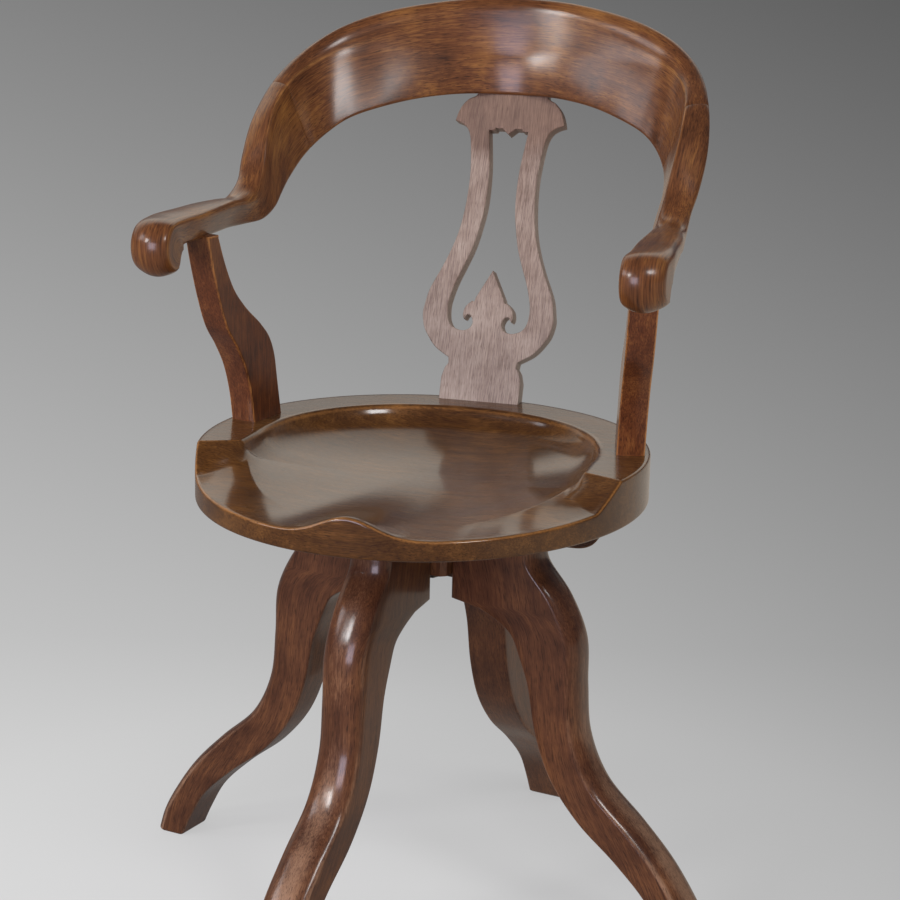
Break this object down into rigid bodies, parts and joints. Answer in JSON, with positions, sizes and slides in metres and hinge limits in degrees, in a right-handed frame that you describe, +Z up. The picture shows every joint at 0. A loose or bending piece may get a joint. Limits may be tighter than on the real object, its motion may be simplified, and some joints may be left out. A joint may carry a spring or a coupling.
{
  "type": "bankers swivel chair",
  "caption": "Wooden revolving desk chair with a saddled round seat, rolled arms, a deep curved crest rail, a pierced lyre splat and four scrolled legs.",
  "frame": {"origin": "on the floor, under the swivel axis, which is the middle of the four feet", "axes": "+Z up along the swivel axis, -Y towards the front of the seat, +X towards the right in a view of the chair's front"},
  "size_m": [0.6516, 0.6516, 0.915],
  "materials": {
    "bow_oak": "dark french polished oak",
    "seat_oak": "dark french polished oak, worn pale at the rim",
    "support_oak": "dark french polished oak",
    "leg_oak": "dark french polished oak",
    "batten_oak": "dark stained oak",
    "splat_oak": "paler oak with a dull waxed surface and open upright grain",
    "dowel_beech": "bare beech",
    "plate_iron": "black iron",
    "spindle_iron": "turned iron, darkened",
    "washer_steel": "dull steel",
    "screw_steel": "dull steel"
  },
  "bodies": {
    "base": {"bottom_plate_screw_back_inner": "screw_steel", "bottom_plate_screw_back_outer": "screw_steel", "bottom_plate_screw_front_inner": "screw_steel", "bottom_plate_screw_front_outer": "screw_steel", "bottom_plate_screw_left_inner": "screw_steel", "bottom_plate_screw_left_outer": "screw_steel", "bottom_plate_screw_right_inner": "screw_steel", "bottom_plate_screw_right_outer": "screw_steel", "leg_back": "leg_oak", "leg_block": "leg_oak", "leg_dowel_back_lower": "dowel_beech", "leg_dowel_back_upper": "dowel_beech", "leg_dowel_front_lower": "dowel_beech", "leg_dowel_front_upper": "dowel_beech", "leg_dowel_left_lower": "dowel_beech", "leg_dowel_left_upper": "dowel_beech", "leg_dowel_right_lower": "dowel_beech", "leg_dowel_right_upper": "dowel_beech", "leg_front": "leg_oak", "leg_left": "leg_oak", "leg_right": "leg_oak", "swivel_bottom_plate": "plate_iron", "thrust_washer": "washer_steel"},
    "seat": {"arm_left": "bow_oak", "arm_right": "bow_oak", "arm_support_left": "support_oak", "arm_support_right": "support_oak", "back_splat": "splat_oak", "batten_screw_front_left": "screw_steel", "batten_screw_front_right": "screw_steel", "batten_screw_rear_left": "screw_steel", "batten_screw_rear_right": "screw_steel", "bow_dowel_left_lower": "dowel_beech", "bow_dowel_left_upper": "dowel_beech", "bow_dowel_right_lower": "dowel_beech", "bow_dowel_right_upper": "dowel_beech", "crest_rail": "bow_oak", "seat": "seat_oak", "seat_batten_front": "batten_oak", "seat_batten_rear": "batten_oak", "spindle_nut": "washer_steel", "spindle_washer": "washer_steel", "swivel_spindle": "spindle_iron", "swivel_top_plate": "plate_iron", "top_plate_screw_front_left": "screw_steel", "top_plate_screw_front_right": "screw_steel", "top_plate_screw_rear_left": "screw_steel", "top_plate_screw_rear_right": "screw_steel"}
  },
  "joints": [
    {"name": "seat_swivel", "type": "hinge", "parent": "base", "child": "seat", "pos_m": [0, 0, 0.4], "axis": [0, 0, 1], "continuous": true}
  ]
}
